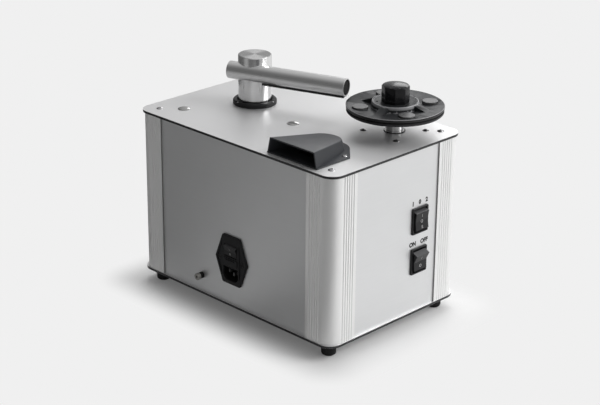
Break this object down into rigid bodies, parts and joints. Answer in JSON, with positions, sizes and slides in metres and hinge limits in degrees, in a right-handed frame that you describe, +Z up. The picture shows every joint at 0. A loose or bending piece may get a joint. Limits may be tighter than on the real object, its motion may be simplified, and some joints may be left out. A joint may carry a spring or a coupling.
{
  "type": "record cleaning machine",
  "caption": "Box-shaped vacuum record cleaner: aluminium case on rubber feet, motor platter with lift-off label clamp, swinging suction arm, exhaust hood, rocker switches, mains inlet, drain.",
  "frame": {"origin": "on the floor, under the centre of the outline's box", "axes": "+Z up, +Y towards the rear, +X towards the right; the switches face -Y and the mains inlet faces -X"},
  "size_m": [0.2132, 0.3094, 0.2657],
  "materials": {
    "profile": "satin anodised extrusion",
    "panel": "satin anodised sheet",
    "plate": "satin anodised sheet",
    "brushed": "brushed along its length",
    "turned": "turned",
    "cast": "cast and satin coated",
    "platter_metal": "turned and satin",
    "rubber": "matt",
    "black_plastic": "fine moulded grain",
    "rocker_plastic": "polished",
    "hood_plastic": "fine moulded grain",
    "screw_steel": "dark oxide",
    "bright_screw": "bright",
    "nickel": "nickel plated",
    "velvet": "short pile",
    "spring_steel": "bright wire",
    "motor_metal": "satin",
    "gearbox_metal": "die cast",
    "tank_plastic": "satin",
    "inner_plastic": "satin",
    "board": "lacquered board",
    "fuse_glass": "clear",
    "pvc": "ribbed hose"
  },
  "bodies": {
    "case": {"post_rear_right": "profile", "post_rear_left": "profile", "post_front_right": "profile", "post_front_left": "profile", "front_panel": "panel", "rear_panel": "panel", "left_panel": "panel", "right_panel": "panel", "bottom_plate": "plate", "top_plate": "plate", "rubber_feet": "rubber", "plate_screws": "screw_steel", "top_bearing": "turned", "motor_screws": "bright_screw", "gearbox": "gearbox_metal", "drive_motor": "motor_metal", "column_flange": "black_plastic", "flange_screws": "screw_steel", "guide_pipe": "turned", "lift_spring": "spring_steel", "exhaust_hood": "hood_plastic", "hood_screws": "screw_steel", "upper_switch_housing": "black_plastic", "lower_switch_housing": "black_plastic", "inlet_body": "black_plastic", "inlet_blades": "nickel", "inlet_screws": "screw_steel", "drain_nozzle": "nickel", "drain_seal": "rubber", "turbine_cradle": "rubber", "cradle_screws": "screw_steel", "turbine_motor": "motor_metal", "turbine_shroud": "inner_plastic", "exhaust_duct": "inner_plastic", "waste_tank": "tank_plastic", "tank_lid": "tank_plastic", "tank_screws": "bright_screw", "suction_duct": "pvc", "power_supply": "board", "terminal_block": "inner_plastic"},
    "turntable": {"drive_shaft": "turned", "platter": "platter_metal", "platter_mat": "rubber"},
    "clamp": {"clamp_disc": "cast", "clamp_seal": "rubber", "clamp_magnets": "nickel"},
    "clamp_nut": {"clamp_knob": "black_plastic"},
    "arm_lift": {"lift_collar": "black_plastic"},
    "arm": {"arm_column": "brushed", "arm_tube": "brushed", "arm_plugs": "rubber", "arm_strips": "velvet"},
    "upper_switch": {"upper_rocker": "rocker_plastic"},
    "lower_switch": {"lower_rocker": "rocker_plastic"},
    "mains_switch": {"main_rocker": "rocker_plastic"},
    "fuse_tray": {"fuse_drawer": "black_plastic", "fuse": "fuse_glass"},
    "impeller": {"turbine_fan": "inner_plastic"}
  },
  "joints": [
    {"name": "platter_spin", "type": "hinge", "parent": "case", "child": "turntable", "pos_m": [0.05305, -0.09431, 0.2186], "axis": [0, 0, 1], "continuous": true},
    {"name": "clamp_lift", "type": "slide", "parent": "turntable", "child": "clamp", "axis": [0, 0, 1], "range_m": [0, 0.03]},
    {"name": "clamp_knob_turn", "type": "hinge", "parent": "clamp", "child": "clamp_nut", "pos_m": [0.05305, -0.09431, 0.2486], "axis": [0, 0, 1], "continuous": true},
    {"name": "arm_sink", "type": "slide", "parent": "case", "child": "arm_lift", "axis": [0, 0, 1], "range_m": [-0.004, 0], "stiffness_N_per_m": 450, "springref_m": 0.009, "deforming": ["lift_spring"]},
    {"name": "arm_swing", "type": "hinge", "parent": "arm_lift", "child": "arm", "pos_m": [0.00905, 0.07849, 0.2286], "axis": [0, 0, 1], "range_deg": [-8, 115]},
    {"name": "upper_rocker_tilt", "type": "hinge", "parent": "case", "child": "upper_switch", "pos_m": [0.0383, -0.14681, 0.124], "axis": [1, 0, 0], "range_deg": [-11, 11]},
    {"name": "lower_rocker_tilt", "type": "hinge", "parent": "case", "child": "lower_switch", "pos_m": [0.0383, -0.14681, 0.0768], "axis": [1, 0, 0], "range_deg": [-22, 0]},
    {"name": "mains_rocker_tilt", "type": "hinge", "parent": "case", "child": "mains_switch", "pos_m": [-0.09895, 0.00219, 0.0815], "axis": [0, -1, 0], "range_deg": [-20, 0]},
    {"name": "fuse_tray_pull", "type": "slide", "parent": "case", "child": "fuse_tray", "axis": [-1, 0, 0], "range_m": [0, 0.016]},
    {"name": "impeller_spin", "type": "hinge", "parent": "case", "child": "impeller", "pos_m": [0.01005, -0.06931, 0.1], "axis": [0, 0, 1], "continuous": true}
  ]
}
